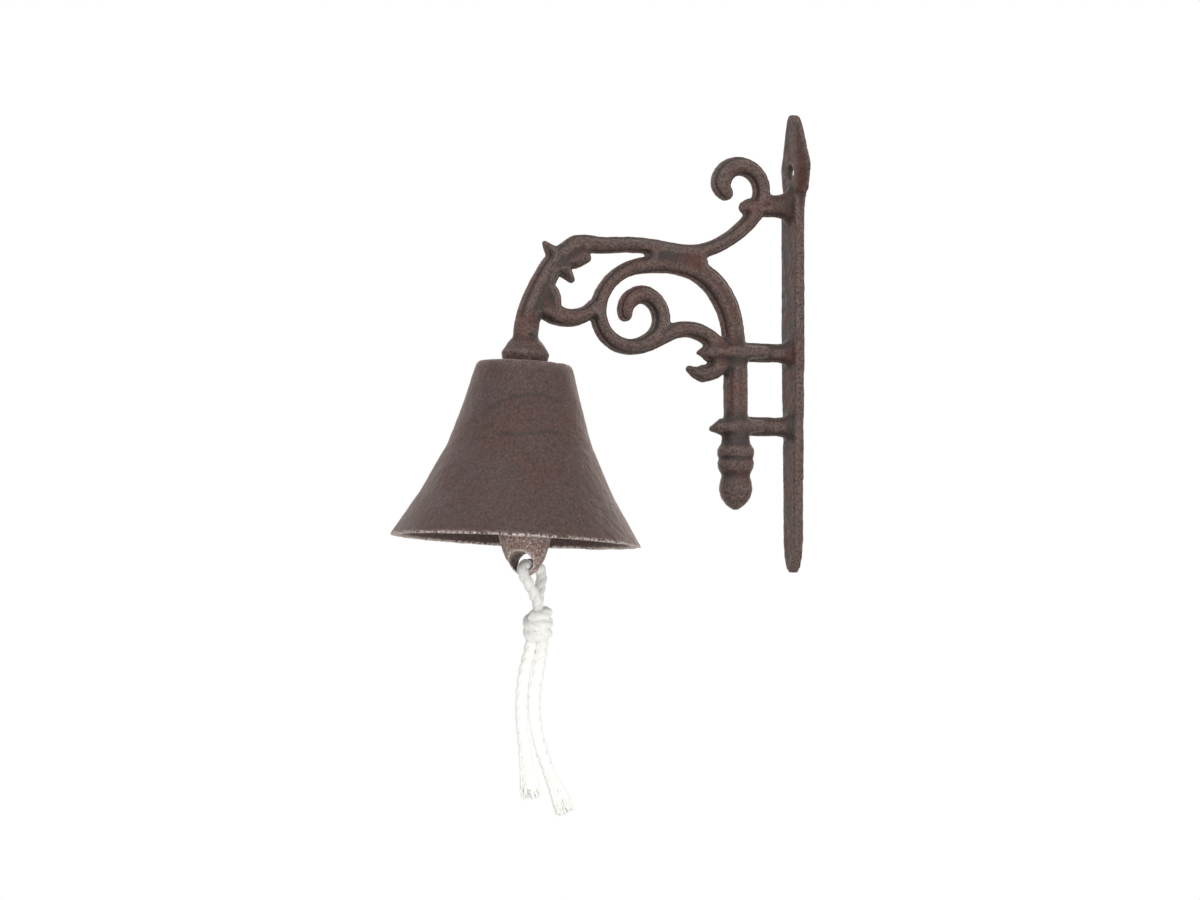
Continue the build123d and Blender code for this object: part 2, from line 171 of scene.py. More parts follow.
KNOT_RADIUS = 3.8 * MM
KNOT_HEIGHT = 11.5 * MM
KNOT_LEAN = 1.9 * MM
KNOT_TURNS = 2.7
KNOT_START = radians(200)
ROPE_PITCH = 15 * MM
LINE_STEP = 0.5 * MM

# Strands: their radius and their distance from the rope's middle are shares of the rope's diameter.
# FIBRE_STRETCH draws the fibres out along them, and each strand's fibres lie YARN_STEP further on.
STRANDS = 3
STRAND_SIDES = 12
STRAND_RADIUS = 0.37
STRAND_ORBIT = 0.15
FIBRE_STRETCH = 0.12
YARN_STEP = 10 * MM
TAIL_OPENING = 0.5

# Loose threads at the cut ends, drawn as small locks
FRAY_START = 18 * MM
FRAY_LENGTH = 21 * MM
FRAY_SPREAD = 2.1 * MM
FRAY_THREADS = 130
FRAY_THICKNESS = 0.85 * MM
FRAY_TAPER = 0.6
FRAY_WIGGLE = 1.2 * MM
FRAY_WAVE = 3.5 * MM
FRAY_SIDES = 6
FRAY_DISC_RADIUS = TAIL_DIAMETER * 0.46
FRAY_DISC_SIDES = 16

# Stage, in metres. The room looks white and gives ROOM_LIGHT of its white as light.
FLOOR_Z = -0.75
FLOOR_HALF = 7
ROOM_LIGHT = 0.52
LAMP_AIM = Vector((-0.1, 0, -0.05))


def linear(code):
    """A hex sRGB colour as linear RGBA."""
    shades = [int(code[i : i + 2], 16) / 255 for i in (1, 3, 5)]
    return [s / 12.92 if s <= 0.04045 else ((s + 0.055) / 1.055) ** 2.4 for s in shades] + [1.0]


def add_node(tree, kind, output=0, inputs=None, **settings):
    """Adds a node with its settings and gives one of its outputs.

    Each input is a value or another node's output.
    """
    node = tree.nodes.new(kind)
    for name, value in settings.items():
        setattr(node, name, value)
    for name, value in (inputs or {}).items():
        if isinstance(value, bpy.types.NodeSocket):
            tree.links.new(value, node.inputs[name])
        else:
            node.inputs[name].default_value = value
    return node.outputs[output] if node.outputs else node


def noise(tree, place, size, detail, roughness=0.5):
    """Noise from 0 to 1 with spots of about this size."""
    inputs = {"Vector": place, "Scale": 1 / size, "Detail": detail, "Roughness": roughness}
    return add_node(tree, "ShaderNodeTexNoise", 0, inputs)


def ranged(tree, value, low, high, start=0.0, end=1.0):
    """Carries a value's range from low to high over to the range from start to end, and holds it there."""
    inputs = {"Value": value, "From Min": low, "From Max": high, "To Min": start, "To Max": end}
    return add_node(tree, "ShaderNodeMapRange", 0, inputs)


def blended(tree, share, first, second):
    """A colour that lies between two others by this share."""
    return add_node(tree, "ShaderNodeMix", 2, {0: share, 6: first, 7: second}, data_type="RGBA")


def combined(tree, operation, first, second):
    """One number from two, by this operation."""
    return add_node(tree, "ShaderNodeMath", 0, {0: first, 1: second}, operation=operation)


def stored(tree, name):
    """The number of this name at each point of the mesh."""
    return add_node(tree, "ShaderNodeAttribute", "Fac", attribute_name=name)


def new_material(name):
    """A material with an empty node tree."""
    material = bpy.data.materials.new(name)
    material.use_nodes = True
    material.node_tree.nodes.clear()
    return material


def with_surface(material, inputs):
    """Ends a material's node tree with one surface that has these inputs."""
    tree = material.node_tree
    surface = add_node(tree, "ShaderNodeBsdfPrincipled", 0, inputs)
    add_node(tree, "ShaderNodeOutputMaterial", inputs={"Surface": surface})
    return material


def cast_iron(name, stain, crease, worn, rust, grit, bite, flecks, lip=None):
    """Grey iron cast in a sand mould, stained brown and left matt.

    The sand leaves a grit of about 0.3 mm, drawn at 1 mm and more, because it would be too fine to show.
    The stain is rusty in patches and rubbed off to grey metal on what stands proud, and the creases and
    hollows are darkened with painted shade. The gritty skin looks dusty and lighter on the sides that
    turn away. lip is the colour of a rim that is worn bare, on the piece that has one.
    """
    material = new_material(name)
    tree = material.node_tree
    place = add_node(tree, "ShaderNodeTexCoord", "Object")
    cloud = noise(tree, place, RUST_PATCH, 4)
    sand = noise(tree, place, grit, 3, 0.7)
    pits = noise(tree, place, grit * 2.4, 3)
    raised = stored(tree, "raised")
    hollow = stored(tree, "hollow")

    rusty = ranged(tree, cloud, 0.44, 0.64, 0, 0.85)
    colour = blended(tree, rusty, linear(stain), linear(rust))
    low_grain = ranged(tree, sand, 0.52, 0.36, 0, 0.8)
    colour = blended(tree, low_grain, colour, linear(crease))
    # Painted shade: the hollows and creases darken to the crease colour
    colour = blended(tree, hollow, colour, linear(crease))
    rubbed = ranged(tree, sand, 0.4, 0.6, 0.1)
    rubbed = combined(tree, "MULTIPLY", rubbed, raised)
    sparkle = ranged(tree, sand, 0.55, 0.68, 0, flecks)
    rubbed = combined(tree, "MAXIMUM", rubbed, sparkle)
    colour = blended(tree, rubbed, colour, linear(worn))
    if lip:
        scratch = stored(tree, "scratch")
        colour = blended(tree, scratch, colour, linear(crease))
        chips = noise(tree, place, CHIP_SIZE, 3)
        chips = ranged(tree, chips, 0.42, 0.56)
        rim = stored(tree, "lip")
        rim = combined(tree, "MULTIPLY", chips, rim)
        colour = blended(tree, rim, colour, linear(lip))

    skin = add_node(tree, "ShaderNodeMix", 0, {0: 0.45, 2: sand, 3: pits})
    skin = add_node(tree, "ShaderNodeBump", 0, {"Strength": 1.0, "Distance": bite, "Height": skin})
    rough = ranged(tree, cloud, 0.3, 0.7, 0.55, 0.68)
    return with_surface(
        material,
        {
            "Base Color": colour,
            "Roughness": rough,
            "Normal": skin,
            "IOR": 1.5,
            "Sheen Weight": 0.7,
            "Sheen Roughness": 0.32,
            "Sheen Tint": linear(DUST),
        },
    )


def zinc_plated_steel():
    """Turned and bent steel, electroplated with zinc: grey metal, clouded, with no sharp reflection."""
    material = new_material("dull_zinc_plated_steel")
    tree = material.node_tree
    place = add_node(tree, "ShaderNodeTexCoord", "Object")
    cloud = noise(tree, place, ZINC_CLOUD, 3)
    dull = ranged(tree, cloud, 0.35, 0.65)
    colour = blended(tree, dull, linear(ZINC), linear(ZINC_DULL))
    rough = ranged(tree, cloud, 0.3, 0.7, 0.38, 0.55)
    return with_surface(material, {"Base Color": colour, "Roughness": rough, "Metallic": 1.0})


def bleached_cotton():
    """Bleached cotton twisted from three strands: white and matt, its fibres lying along each strand.

    A cotton fibre is 0.02 mm thick, too fine to show, so the fibres are drawn as bundles, 0.4 mm across.
    """
    material = new_material("bleached_cotton_rope")
    tree = material.node_tree
    place = add_node(tree, "ShaderNodeTexCoord", "Object")
    yarn = add_node(tree, "ShaderNodeAttribute", "Vector", attribute_name="yarn")
    fluff = noise(tree, place, COTTON_FLUFF, 4)
    fibre = noise(tree, yarn, COTTON_FIBRE, 2)
    shade = ranged(tree, fluff, 0.35, 0.6)
    colour = blended(tree, shade, linear(COTTON_SHADE), linear(COTTON))
    height = add_node(tree, "ShaderNodeMix", 0, {0: 0.6, 2: fluff, 3: fibre})
    skin = add_node(tree, "ShaderNodeBump", 0, {"Strength": 0.7, "Distance": 0.2 * MM, "Height": height})
    return with_surface(
        material,
        {
            "Base Color": colour,
            "Normal": skin,
            "Roughness": 0.95,
            "Sheen Weight": 0.3,
            "Sheen Roughness": 0.5,
        },
    )


def pale_board():
    """Painted board for the floor: plain, pale and matt."""
    material = new_material("matt_painted_board")
    return with_surface(material, {"Base Color": linear(PALE_FLOOR), "Roughness": 0.9})


def new_mesh_object(name, points, faces, material):
    """A smooth mesh object at the world's origin."""
    mesh = bpy.data.meshes.new(name)
    mesh.from_pydata([tuple(point) for point in points], [], faces)
    mesh.update()
    thing = bpy.data.objects.new(name, mesh)
    bpy.context.scene.collection.objects.link(thing)
    mesh.materials.append(material)
    mesh.polygons.foreach_set("use_smooth", [True] * len(mesh.polygons))
    return thing


def copy_of_node(node, name, material):
    """A merged copy of a CAD node's mesh."""
    thing = bpy.data.objects.new(name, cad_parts[node].data.copy())
    bpy.context.scene.collection.objects.link(thing)
    thing.data.materials.clear()
    thing.data.materials.append(material)
    work = bmesh.new()
    work.from_mesh(thing.data)
    bmesh.ops.remove_doubles(work, verts=work.verts, dist=1e-6)
    work.to_mesh(thing.data)
    work.free()
    return thing


def made_plain(thing):
    """Applies an object's modifiers and leaves a plain mesh."""
    evaluated = thing.evaluated_get(bpy.context.evaluated_depsgraph_get())
    mesh = bpy.data.meshes.new_from_object(evaluated)
    thing.modifiers.clear()
    old = thing.data
    thing.data = mesh
    bpy.data.meshes.remove(old)
    return thing


def remeshed(thing, voxel, smoothing):
    """An even skin over a merged CAD copy, its facets and edges softened as casting leaves them."""
    skin = thing.modifiers.new("skin", "REMESH")
    skin.mode = "VOXEL"
    skin.voxel_size = voxel
    skin.use_smooth_shade = True
    soften = thing.modifiers.new("soften", "SMOOTH")
    soften.factor = 0.5
    soften.iterations = smoothing
    return made_plain(thing)


def vertex_arrays(thing):
    """A mesh's points and normals."""
    mesh = thing.data
    points = np.empty(len(mesh.vertices) * 3)
    normals = np.empty(len(mesh.vertices) * 3)
    mesh.vertices.foreach_get("co", points)
    mesh.vertices.foreach_get("normal", normals)
    return points.reshape(-1, 3), normals.reshape(-1, 3)


def move_points(thing, points):
    """Puts a mesh's points at these places."""
    thing.data.vertices.foreach_set("co", points.reshape(-1))
    thing.data.update()


def keep_attribute(thing, name, values, kind="FLOAT"):
    """Stores a number or a vector at each point of a mesh for its material."""
    layer = thing.data.attributes.new(name, kind, "POINT")
    field = "value" if kind == "FLOAT" else "vector"
    layer.data.foreach_set(field, np.asarray(values, dtype=np.float32).reshape(-1))


def edge_pairs(thing):
    """The two points of each edge, and how many edges meet at each point."""
    pairs = np.empty(len(thing.data.edges) * 2, dtype=np.int32)
    thing.data.edges.foreach_get("vertices", pairs)
    return pairs.reshape(-1, 2), np.bincount(pairs, minlength=len(thing.data.vertices))


def neighbour_mean(pairs, count, values):
    """The mean of each point's neighbours, for one or more columns of values."""
    first, second = pairs.T
    columns = [
        np.bincount(first, column[second], len(count)) + np.bincount(second, column[first], len(count))
        for column in values.T
    ]
    return np.stack(columns, 1) / np.maximum(count, 1)[:, None]


def evened(thing, share, rounds):
    """Draws the points towards their neighbours' mean by this share, as a fillet in the casting does."""
    points, _ = vertex_arrays(thing)
    pairs, count = edge_pairs(thing)
    for _ in range(rounds):
        points = points + (neighbour_mean(pairs, count, points) - points) * share[:, None]
    move_points(thing, points)


def mark_wear_and_shade(thing, rounds, edge_scale, flange=0.0, crease=0.0):
    """Finds raised edges, which are rubbed, and hollows, which get painted shade, from how far each point
    stands from its evened place.

    flange and crease are shares for each point: a thin edge is rubbed, and the line beside it gets painted
    shade.
    """
    points, normals = vertex_arrays(thing)
    pairs, count = edge_pairs(thing)
    evened_points = points
    for _ in range(rounds):
        evened_points = neighbour_mean(pairs, count, evened_points)
    stand = ((points - evened_points) * normals).sum(1)[:, None]
    for _ in range(2):
        stand = neighbour_mean(pairs, count, stand)
    stand = stand[:, 0] / edge_scale
    raised = np.maximum(np.clip(stand - RUBBED_FROM, 0, 1), flange * FLANGE_RUB)
    # Painted shade in the hollows, weaker on the rubbed flange
    hollow_shade = np.clip(-stand - SHADED_FROM, 0, 1) * SHADE_SHARE * (1 - flange * 0.9)
    hollow = np.maximum(hollow_shade, crease * CREASE_SHADE)
    keep_attribute(thing, "raised", raised)
    keep_attribute(thing, "hollow", hollow)


def wave_noise(points, size, seed):
    """Smooth repeatable noise about this size, from a few crossed waves."""
    rng = np.random.default_rng(seed)
    total = np.zeros(len(points))
    waves = 14
    for _ in range(waves):
        way = rng.normal(size=3)
        way *= rng.uniform(0.6, 1.5) / np.linalg.norm(way) / size
        total += np.sin(points @ way * tau + rng.uniform(0, tau))
    return total / waves**0.5


def rough_cast(thing, amount, size, seed):
    """Leaves the soft unevenness of a sand mould in the mesh."""
    points, normals = vertex_arrays(thing)
    lift = wave_noise(points, size, seed) * amount
    lift += wave_noise(points, size * 0.35, seed + 1) * amount * 0.45
    move_points(thing, points + normals * lift[:, None])


def finish_piece(thing, body, node):
    """Rides a finished piece on its body in place of its CAD node."""
    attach(thing, body)
    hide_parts(node)


def smoothstep(low, high, value):
    """Rises smoothly from 0 at low to 1 at high."""
    share = np.clip((value - low) / (high - low), 0, 1)
    return share * share * (3 - 2 * share)


def between(low, high, soft, value):
    """1 between low and high, falling to 0 over the soft width beyond them."""
    return smoothstep(low - soft, low, value) * (1 - smoothstep(high, high + soft, value))


# Camera
camera_data = bpy.data.cameras.new("camera")
camera = bpy.data.objects.new("camera", camera_data)
bpy.context.scene.collection.objects.link(camera)
camera_data.sensor_width = 36
camera_data.lens = LENS
camera_data.clip_end = 50
look = Vector((sin(VIEW_TURN) * cos(VIEW_RISE), cos(VIEW_TURN) * cos(VIEW_RISE), sin(VIEW_RISE)))
camera.location = VIEW_TARGET - look * VIEW_DISTANCE
camera.rotation_mode = "QUATERNION"
camera.rotation_quaternion = look.to_track_quat("-Z", "Y")
bpy.context.scene.camera = camera
bpy.context.scene.view_settings.view_transform = "Standard"

bracket_iron = cast_iron(
    "brown_stained_cast_iron",
    IRON_STAIN,
    IRON_CREASE,
    IRON_WORN,
    IRON_RUST,
    grit=BRACKET_GRIT,
    bite=0.6 * MM,
    flecks=0.18,
)
bell_iron = cast_iron(
    "brown_stained_bell_iron",
    BELL_STAIN,
    BELL_CREASE,
    BELL_WORN,
    BELL_RUST,
    grit=BELL_GRIT,
    bite=0.9 * MM,
    flecks=0.45,
    lip=LIP_WORN,
)
clapper_iron = cast_iron(
    "coarse_cast_clapper_iron",
    CLAPPER_STAIN,
    # The clapper's crease colour is the bracket's stain: it darkens the grain and lays painted shade in the
    # hollows
    IRON_STAIN,
    CLAPPER_WORN,
    IRON_RUST,
    grit=CLAPPER_GRIT,
    bite=0.9 * MM,
    flecks=1.0,
)
zinc = zinc_plated_steel()
cotton = bleached_cotton()


# Rope: the routes first, then its strands
def route_curve(name, route):
    """A smooth centre line through the route's runs."""
    curve = bpy.data.curves.new(name, "CURVE")
    curve.dimensions = "3D"
    curve.resolution_u = 24
    spline = curve.splines.new("NURBS")
    spline.points.add(len(route) - 1)
    for point, place in zip(spline.points, route):
        point.co = (*(Vector(place) * MM), 1)
    spline.order_u = 3
    spline.use_endpoint_u = True
    return curve


def run_along(points):
    """The length of the line up to each of its points."""
    return np.concatenate([[0], np.cumsum(np.linalg.norm(np.diff(points, axis=0), axis=1))])


def even_points(curve, step):
    """Points along a curve at an even step."""
    holder = bpy.data.objects.new("route", curve)
    bpy.context.scene.collection.objects.link(holder)
    mesh = bpy.data.meshes.new_from_object(holder.evaluated_get(bpy.context.evaluated_depsgraph_get()))
    raw = np.array([vertex.co[:] for vertex in mesh.vertices])
    bpy.data.objects.remove(holder)
    bpy.data.meshes.remove(mesh)
    run = run_along(raw)
    marks = np.linspace(0, run[-1], max(2, round(run[-1] / step)) + 1)
    return np.stack([np.interp(marks, run, raw[:, axis]) for axis in range(3)], 1)


def strand_frames(points):
    """Two directions across the line at each point, carried along it without twist."""
    along = np.gradient(points, axis=0)
    along /= np.linalg.norm(along, axis=1)[:, None]
    side = np.cross(along[0], (0.3, 0.9, 0.1))
    sides = []
    for way in along:
        side = side - way * (side @ way)
        side /= np.linalg.norm(side)
        sides.append(side)
    sides = np.array(sides)
    return sides, np.cross(along, sides)


def twisted_rope(points, diameter, opening=0.0):
    """Three plump strands twisted round a centre line: points, faces and yarn coordinates.

    opening is how far the strands part and thin towards the line's last point, as a share.
    """
    sides = STRAND_SIDES
    first, second = strand_frames(points)
    run = run_along(points)
    loosened = opening * smoothstep(run[-1] - FRAY_START, run[-1], run)
    strand_radius = diameter * STRAND_RADIUS * (1 - loosened * 0.5)
    orbit = diameter * STRAND_ORBIT * (1 + loosened * 2.5)
    angles = np.arange(sides) * tau / sides
    corners, yarns, faces = [], [], []
    for number in range(STRANDS):
        turn = run / ROPE_PITCH * tau + tau * number / STRANDS
        out = first * np.cos(turn)[:, None] + second * np.sin(turn)[:, None]
        line = points + out * orbit[:, None]
        across, other = strand_frames(line)
        start = len(corners)
        for i, centre in enumerate(line):
            plump = strand_radius[i] * (1 + 0.04 * sin(i * 0.9 + number * 2) + 0.03 * sin(i * 2.3))
            along = run[i] * FIBRE_STRETCH + number * YARN_STEP
            for angle in angles:
                spoke = across[i] * cos(angle) + other[i] * sin(angle)
                corners.append(centre + spoke * plump)
                yarns.append((cos(angle) * plump, sin(angle) * plump, along))
        for i in range(len(line) - 1):
            for side in range(sides):
                a = start + i * sides + side
                b = start + i * sides + (side + 1) % sides
                faces.append((a, b, b + sides, a + sides))
        last = start + (len(line) - 1) * sides
        faces.append(tuple(range(start + sides - 1, start - 1, -1)))
        faces.append(tuple(range(last, last + sides)))
    return corners, faces, yarns


def rope_piece(name, *ropes):
    """One cotton piece of one or more twisted ropes."""
    points, faces, yarns = [], [], []
    for corners, polygons, threads in ropes:
        faces += [tuple(i + len(points) for i in polygon) for polygon in polygons]
        points += corners
        yarns += threads
    thing = new_mesh_object(name, points, faces, cotton)
    keep_attribute(thing, "yarn", yarns, "FLOAT_VECTOR")
    return thing


def thread_tree():
    """The node tree that grows loose threads from the faces of a mesh, and its inputs by name."""
    tree = bpy.data.node_groups.new("loose_cotton_threads", "GeometryNodeTree")
    tree.interface.new_socket("Geometry", in_out="OUTPUT", socket_type="NodeSocketGeometry")
    sockets = {}
    for name, kind in (
        ("Geometry", "NodeSocketGeometry"),
        ("Threads per area", "NodeSocketFloat"),
        ("Length", "NodeSocketFloat"),
        ("Thickness", "NodeSocketFloat"),
        ("Spread", "NodeSocketFloat"),
        ("Wiggle", "NodeSocketFloat"),
        ("Centre", "NodeSocketVector"),
        ("Seed", "NodeSocketInt"),
        ("Material", "NodeSocketMaterial"),
    ):
        sockets[name] = tree.interface.new_socket(name, in_out="INPUT", socket_type=kind).identifier
    given = tree.nodes.new("NodeGroupInput").outputs

    scatter = add_node(
        tree,
        "GeometryNodeDistributePointsOnFaces",
        0,
        {"Mesh": given["Geometry"], "Density": given["Threads per area"], "Seed": given["Seed"]},
    )
    here = add_node(tree, "GeometryNodeInputPosition")
    outward = add_node(tree, "ShaderNodeVectorMath", 0, {0: here, 1: given["Centre"]}, operation="SUBTRACT")
    marked = add_node(
        tree,
        "GeometryNodeStoreNamedAttribute",
        0,
        {"Geometry": scatter, "Name": "outward", "Value": outward},
        data_type="FLOAT_VECTOR",
        domain="POINT",
    )
    straight = add_node(tree, "GeometryNodeCurvePrimitiveLine", 0, {"End": (0, 0, 1)})
    straight = add_node(tree, "GeometryNodeResampleCurve", 0, {"Curve": straight, "Count": 9})
    shortened = add_node(
        tree,
        "FunctionNodeRandomValue",
        1,
        {"Min": 0.72, "Max": 1.0, "Seed": given["Seed"]},
        data_type="FLOAT",
    )
    reach = combined(tree, "MULTIPLY", shortened, given["Length"])
    size = add_node(tree, "ShaderNodeCombineXYZ", 0, {"X": 1.0, "Y": 1.0, "Z": reach})
    rotation = scatter.node.outputs["Rotation"]
    planted = add_node(
        tree,
        "GeometryNodeInstanceOnPoints",
        0,
        {"Points": marked, "Instance": straight, "Rotation": rotation, "Scale": size},
    )
    threads = add_node(tree, "GeometryNodeRealizeInstances", 0, {"Geometry": planted})

    along = add_node(tree, "GeometryNodeSplineParameter", "Factor")
    opened = combined(tree, "POWER", along, 1.5)
    opened = combined(tree, "MULTIPLY", opened, given["Spread"])
    outward = add_node(
        tree,
        "GeometryNodeInputNamedAttribute",
        0,
        {"Name": "outward"},
        data_type="FLOAT_VECTOR",
    )
    apart = add_node(tree, "ShaderNodeVectorMath", 0, {0: outward, "Scale": opened}, operation="SCALE")
    waves = add_node(tree, "ShaderNodeTexNoise", 1, {"Vector": here, "Scale": 1 / FRAY_WAVE, "Detail": 1})
    waves = add_node(tree, "ShaderNodeVectorMath", 0, {0: waves, 1: (0.5, 0.5, 0.5)}, operation="SUBTRACT")
    stray = combined(tree, "MULTIPLY", along, given["Wiggle"])
    waves = add_node(tree, "ShaderNodeVectorMath", 0, {0: waves, "Scale": stray}, operation="SCALE")
    bend = add_node(tree, "ShaderNodeVectorMath", 0, {0: apart, 1: waves}, operation="ADD")
    threads = add_node(tree, "GeometryNodeSetPosition", 0, {"Geometry": threads, "Offset": bend})

    taper = ranged(tree, along, 0, 1, 1.0, FRAY_TAPER)
    threads = add_node(tree, "GeometryNodeSetCurveRadius", 0, {"Curve": threads, "Radius": taper})
    half = combined(tree, "MULTIPLY", given["Thickness"], 0.5)
    section = add_node(
        tree,
        "GeometryNodeCurvePrimitiveCircle",
        0,
        {"Resolution": FRAY_SIDES, "Radius": half},
    )
    skin = add_node(
        tree,
        "GeometryNodeCurveToMesh",
        0,
        {"Curve": threads, "Profile Curve": section, "Fill Caps": True},
    )
    skin = add_node(tree, "GeometryNodeSetShadeSmooth", 0, {"Geometry": skin})
    skin = add_node(tree, "GeometryNodeRealizeInstances", 0, {"Geometry": skin})
    skin = add_node(tree, "GeometryNodeSetMaterial", 0, {"Geometry": skin, "Material": given["Material"]})
    add_node(tree, "NodeGroupOutput", inputs={"Geometry": skin})
    return tree, sockets


def frayed_end(name, line, tree, sockets, seed):
    """The brush of loose threads at a cut end, grown from a disc across the rope."""
    start = len(line) - 1 - round(FRAY_START / LINE_STEP)
    centre = line[start]
    way = line[-1] - centre
    way /= np.linalg.norm(way)
    side = np.cross(way, (0, 1, 0))
    side /= np.linalg.norm(side)
    other = np.cross(way, side)
    angles = np.arange(FRAY_DISC_SIDES) * tau / FRAY_DISC_SIDES
    rim = [centre + (side * cos(angle) + other * sin(angle)) * FRAY_DISC_RADIUS for angle in angles]
    disc = new_mesh_object(name, rim, [tuple(range(FRAY_DISC_SIDES))], cotton)
    grow = disc.modifiers.new("threads", "NODES")
    grow.node_group = tree
    for socket, value in (
        ("Threads per area", FRAY_THREADS / (pi * FRAY_DISC_RADIUS**2)),
        ("Length", FRAY_LENGTH),
        ("Thickness", FRAY_THICKNESS),
        ("Spread", FRAY_SPREAD / FRAY_DISC_RADIUS),
        ("Wiggle", FRAY_WIGGLE),
        ("Centre", tuple(centre)),
        ("Seed", seed),
        ("Material", cotton),
    ):
        grow[sockets[socket]] = value
    return made_plain(disc)


def knot_line():
    """The knot's turns: the rope winds round its own two runs, a little askew."""
    centre = np.array(KNOT_CENTRE) * MM
    share = np.linspace(0, 1, 130)
    angle = share * tau * KNOT_TURNS + KNOT_START
    radius = KNOT_RADIUS * (0.9 + 0.18 * np.sin(share * pi))
    height = KNOT_HEIGHT * (0.5 - share) + np.cos(angle - 0.6) * KNOT_LEAN
    return np.stack([np.cos(angle) * radius, np.sin(angle) * radius, height], 1) + centre


def straight_line(start, end):
    """Even points between two places of the routes."""
    return np.linspace(start, end, 30) * MM


loop_line = even_points(route_curve("pull_loop_route", LOOP_ROUTE), LINE_STEP)
left_line = even_points(route_curve("left_tail_route", LEFT_ROUTE), LINE_STEP)
right_line = even_points(route_curve("right_tail_route", RIGHT_ROUTE), LINE_STEP)
pull_loop = rope_piece("pull_loop_rope", twisted_rope(loop_line, ROPE_DIAMETER))
left_tail = rope_piece("left_tail_rope", twisted_rope(left_line, TAIL_DIAMETER, TAIL_OPENING))
right_tail = rope_piece("right_tail_rope", twisted_rope(right_line, TAIL_DIAMETER, TAIL_OPENING))
pull_knot = rope_piece(
    "pull_knot_rope",
    twisted_rope(knot_line(), KNOT_ROPE_DIAMETER),
    twisted_rope(straight_line(LOOP_ROUTE[0], LEFT_ROUTE[0]), ROPE_DIAMETER),
    twisted_rope(straight_line(LOOP_ROUTE[-1], RIGHT_ROUTE[0]), ROPE_DIAMETER),
)
threads, thread_inputs = thread_tree()
left_fray = frayed_end("left_tail_fray", left_line, threads, thread_inputs, seed=3)
right_fray = frayed_end("right_tail_fray", right_line, threads, thread_inputs, seed=4)
for piece, node in (
    (pull_loop, "pull_loop"),
    (pull_knot, "pull_knot"),
    (left_tail, "pull_tail_left"),
    (left_fray, "pull_tail_left"),
    (right_tail, "pull_tail_right"),
    (right_fray, "pull_tail_right"),
):
    finish_piece(piece, "clapper", node)


# Bracket: the casting's skin, its bands given a thin flange and a rounded rib
def depth_from_edge(distance):
    """How far the casting stands from its parting plane, this far in from its outline."""
    step = smoothstep(FLANGE_WIDTH, STEP_END, distance)
    crown = np.sin(np.clip((distance - STEP_END) / (CROWN_AT - STEP_END), 0, 1) * pi / 2)
    to_step = step * (STEP_DEPTH - EDGE_HALF_DEPTH)
    to_face = crown * (FACE_HALF_DEPTH - STEP_DEPTH)
    return EDGE_HALF_DEPTH * 1.05 + to_step + to_face


def set_half_depth(thing, points, wanted, share):
    """Brings the casting to the wanted depth on both sides of its parting plane, by this share."""
    depth = abs(points[:, 1])
    wanted = np.where(depth > EDGE_HALF_DEPTH, np.maximum(wanted, EDGE_HALF_DEPTH), depth)
    points[:, 1] = np.sign(points[:, 1]) * (depth + (wanted - depth) * share)
    move_points(thing, points)


def outline_distance(points, normals, banded):
    """Each point's distance, in the parting plane, from the outline of the bands."""
    edge = (abs(points[:, 1]) < EDGE_HALF_DEPTH * 0.8) & (abs(normals[:, 1]) < 0.6) & (banded > 0)
    tree = KDTree(int(edge.sum()))
    for number, (x, _, z) in enumerate(points[edge]):
        tree.insert((x, 0, z), number)
    tree.balance()
    return np.array([tree.find((x, 0, z))[2] for x, _, z in points])


def band_section(thing):
    """Gives the scrollwork its thin flange, its crease and its rounded rib.

    Gives back where the flange is, and where painted shade lies dark: in the crease and at the collar's
    seat.
    """
    points, normals = vertex_arrays(thing)
    x, depth, z = points[:, 0], abs(points[:, 1]), points[:, 2]
    off_plate = smoothstep(-PLATE_THICKNESS - 1 * MM, -PLATE_THICKNESS - 4 * MM, x)
    on_post = (1 - smoothstep(POST_HALF, POST_HALF + 1.2 * MM, abs(x - POST_X))) * (z < 4 * MM)
    off_finial = np.where(x < POST_X - 12 * MM, 1, smoothstep(*FINIAL_FADE, z))
    off_collar = np.where(x > ARM_END_X, 1, smoothstep(*COLLAR_FADE, z))
    banded = off_plate * (1 - on_post) * off_finial * off_collar
    distance = outline_distance(points, normals, banded)
    wanted = depth_from_edge(distance) * CROWN_SHARE + depth * (1 - CROWN_SHARE)
    wanted = np.where(depth > FACE_HALF_DEPTH + 0.1 * MM, depth, wanted)
    set_half_depth(thing, points, wanted, banded)
    flange = banded * (1 - smoothstep(FLANGE_WIDTH - 0.2 * MM, FLANGE_WIDTH + 0.1 * MM, distance))
    # Painted shade: a dark line in the crease beside the flange, and a dark band at the foot of the collar,
    # above its seat on the bell
    crease = banded * between(FLANGE_WIDTH + 0.15 * MM, FLANGE_WIDTH + 0.4 * MM, 0.25 * MM, distance)
    seat = (x < ARM_END_X) * (1 - smoothstep(*SEAT_FADE, z))
    return flange, np.maximum(crease, seat)


def leg_foot(thing):
    """Rounds the leg where it runs into its collar."""
    points, _ = vertex_arrays(thing)
    x, z = points[:, 0], points[:, 2]
    share = between(*LEG_FOOT, z) * (x < ARM_END_X)
    off_middle = np.clip((x - LEG_X - z * LEG_LEAN) / LEG_HALF, -1, 1)
    half_depth = COLLAR_NECK + (FACE_HALF_DEPTH - COLLAR_NECK) * smoothstep(2 * MM, 12 * MM, z)
    set_half_depth(thing, points, half_depth * np.sqrt(1 - off_middle**2), share)


